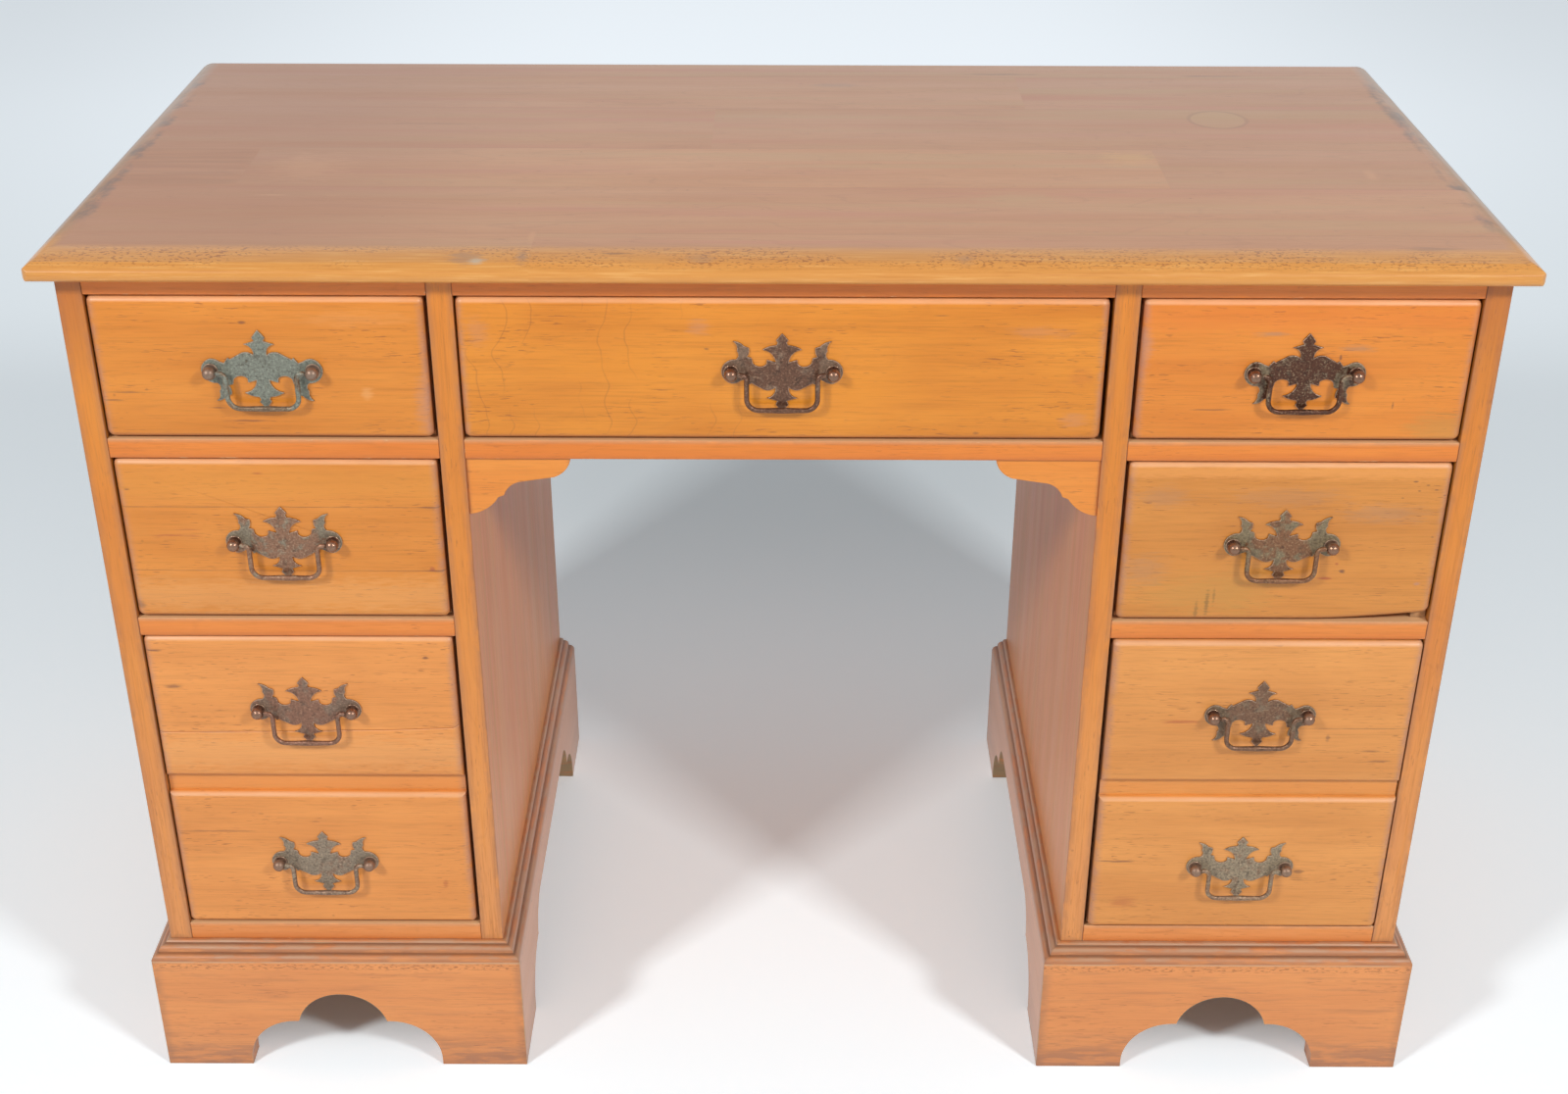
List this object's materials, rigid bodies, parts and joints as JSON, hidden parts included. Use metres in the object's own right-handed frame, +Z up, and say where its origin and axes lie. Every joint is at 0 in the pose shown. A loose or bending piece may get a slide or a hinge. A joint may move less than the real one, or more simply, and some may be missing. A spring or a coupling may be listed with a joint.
{
  "type": "kneehole desk",
  "caption": "Kneehole desk in amber maple: drawer pedestals on moulded bracket plinths, a shallow drawer over the kneehole, a thumb-moulded top and pierced brass bail pulls.",
  "frame": {"origin": "on the floor under the middle of the top", "axes": "+X to the sitter's right, +Y from the drawer fronts to the back, +Z up"},
  "size_m": [1.096, 0.53, 0.762],
  "materials": {
    "top_maple": "worn satin varnish",
    "front_maple": "amber satin varnish",
    "case_maple": "amber satin varnish, worn at the edges",
    "lining_wood": "bare planed wood",
    "back_board": "thin stained board",
    "aged_brass": "aged, pale where rubbed",
    "screw_steel": "plain"
  },
  "bodies": {
    "carcass": {"centre_back_rail": "case_maple", "centre_drawer_rail": "case_maple", "centre_drawer_runners": "lining_wood", "desk_top": "top_maple", "drawer_kickers": "lining_wood", "drawer_stops": "lining_wood", "left_back_panel": "back_board", "left_drawer_rails": "case_maple", "left_drawer_runners": "lining_wood", "left_inner_side": "case_maple", "left_knee_bracket": "case_maple", "left_outer_side": "case_maple", "left_plinth": "case_maple", "plinth_glue_blocks": "lining_wood", "right_back_panel": "back_board", "right_drawer_rails": "case_maple", "right_drawer_runners": "lining_wood", "right_inner_side": "case_maple", "right_knee_bracket": "case_maple", "right_outer_side": "case_maple", "right_plinth": "case_maple", "top_rails": "case_maple", "top_screws": "screw_steel"},
    "left_top_drawer": {"left_top_drawer_front": "front_maple", "left_top_drawer_box": "lining_wood", "left_top_drawer_bottom": "lining_wood", "left_top_drawer_pull": "aged_brass"},
    "left_top_bail": {"left_top_drawer_bail": "aged_brass"},
    "left_second_drawer": {"left_second_drawer_front": "front_maple", "left_second_drawer_box": "lining_wood", "left_second_drawer_bottom": "lining_wood", "left_second_drawer_pull": "aged_brass"},
    "left_second_bail": {"left_second_drawer_bail": "aged_brass"},
    "left_deep_drawer": {"left_deep_drawer_front": "front_maple", "left_deep_drawer_box": "lining_wood", "left_deep_drawer_bottom": "lining_wood", "left_deep_drawer_pulls": "aged_brass"},
    "left_upper_bail": {"left_deep_drawer_upper_bail": "aged_brass"},
    "left_lower_bail": {"left_deep_drawer_lower_bail": "aged_brass"},
    "right_top_drawer": {"right_top_drawer_front": "front_maple", "right_top_drawer_box": "lining_wood", "right_top_drawer_bottom": "lining_wood", "right_top_drawer_pull": "aged_brass"},
    "right_top_bail": {"right_top_drawer_bail": "aged_brass"},
    "right_second_drawer": {"right_second_drawer_front": "front_maple", "right_second_drawer_box": "lining_wood", "right_second_drawer_bottom": "lining_wood", "right_second_drawer_pull": "aged_brass"},
    "right_second_bail": {"right_second_drawer_bail": "aged_brass"},
    "right_deep_drawer": {"right_deep_drawer_front": "front_maple", "right_deep_drawer_box": "lining_wood", "right_deep_drawer_bottom": "lining_wood", "right_deep_drawer_pulls": "aged_brass"},
    "right_upper_bail": {"right_deep_drawer_upper_bail": "aged_brass"},
    "right_lower_bail": {"right_deep_drawer_lower_bail": "aged_brass"},
    "centre_drawer": {"centre_drawer_front": "front_maple", "centre_drawer_box": "lining_wood", "centre_drawer_bottom": "lining_wood", "centre_drawer_pull": "aged_brass"},
    "centre_bail": {"centre_drawer_bail": "aged_brass"}
  },
  "joints": [
    {"name": "left_top_drawer_slide", "type": "slide", "parent": "carcass", "child": "left_top_drawer", "axis": [0, -1, 0], "range_m": [0, 0.33]},
    {"name": "left_top_bail_swing", "type": "hinge", "parent": "left_top_drawer", "child": "left_top_bail", "pos_m": [-0.3875, -0.25215, 0.66775], "axis": [-1, 0, 0], "range_deg": [-6, 186]},
    {"name": "left_second_drawer_slide", "type": "slide", "parent": "carcass", "child": "left_second_drawer", "axis": [0, -1, 0], "range_m": [0, 0.33]},
    {"name": "left_second_bail_swing", "type": "hinge", "parent": "left_second_drawer", "child": "left_second_bail", "pos_m": [-0.3875, -0.25215, 0.52275], "axis": [-1, 0, 0], "range_deg": [-6, 186]},
    {"name": "left_deep_drawer_slide", "type": "slide", "parent": "carcass", "child": "left_deep_drawer", "axis": [0, -1, 0], "range_m": [0, 0.33]},
    {"name": "left_upper_bail_swing", "type": "hinge", "parent": "left_deep_drawer", "child": "left_upper_bail", "pos_m": [-0.3875, -0.25215, 0.3676], "axis": [-1, 0, 0], "range_deg": [-6, 186]},
    {"name": "left_lower_bail_swing", "type": "hinge", "parent": "left_deep_drawer", "child": "left_lower_bail", "pos_m": [-0.3875, -0.25215, 0.2144], "axis": [-1, 0, 0], "range_deg": [-6, 186]},
    {"name": "right_top_drawer_slide", "type": "slide", "parent": "carcass", "child": "right_top_drawer", "axis": [0, -1, 0], "range_m": [0, 0.33]},
    {"name": "right_top_bail_swing", "type": "hinge", "parent": "right_top_drawer", "child": "right_top_bail", "pos_m": [0.3875, -0.25215, 0.66775], "axis": [-1, 0, 0], "range_deg": [-6, 186]},
    {"name": "right_second_drawer_slide", "type": "slide", "parent": "carcass", "child": "right_second_drawer", "axis": [0, -1, 0], "range_m": [0, 0.33]},
    {"name": "right_second_bail_swing", "type": "hinge", "parent": "right_second_drawer", "child": "right_second_bail", "pos_m": [0.3875, -0.25215, 0.52275], "axis": [-1, 0, 0], "range_deg": [-6, 186]},
    {"name": "right_deep_drawer_slide", "type": "slide", "parent": "carcass", "child": "right_deep_drawer", "axis": [0, -1, 0], "range_m": [-0.0035, 0.33]},
    {"name": "right_upper_bail_swing", "type": "hinge", "parent": "right_deep_drawer", "child": "right_upper_bail", "pos_m": [0.3875, -0.25565, 0.3676], "axis": [-1, 0, 0], "range_deg": [-6, 186]},
    {"name": "right_lower_bail_swing", "type": "hinge", "parent": "right_deep_drawer", "child": "right_lower_bail", "pos_m": [0.3875, -0.25565, 0.2144], "axis": [-1, 0, 0], "range_deg": [-6, 186]},
    {"name": "centre_drawer_slide", "type": "slide", "parent": "carcass", "child": "centre_drawer", "axis": [0, -1, 0], "range_m": [0, 0.33]},
    {"name": "centre_bail_swing", "type": "hinge", "parent": "centre_drawer", "child": "centre_bail", "pos_m": [-0.001, -0.25215, 0.66775], "axis": [-1, 0, 0], "range_deg": [-6, 186]}
  ]
}
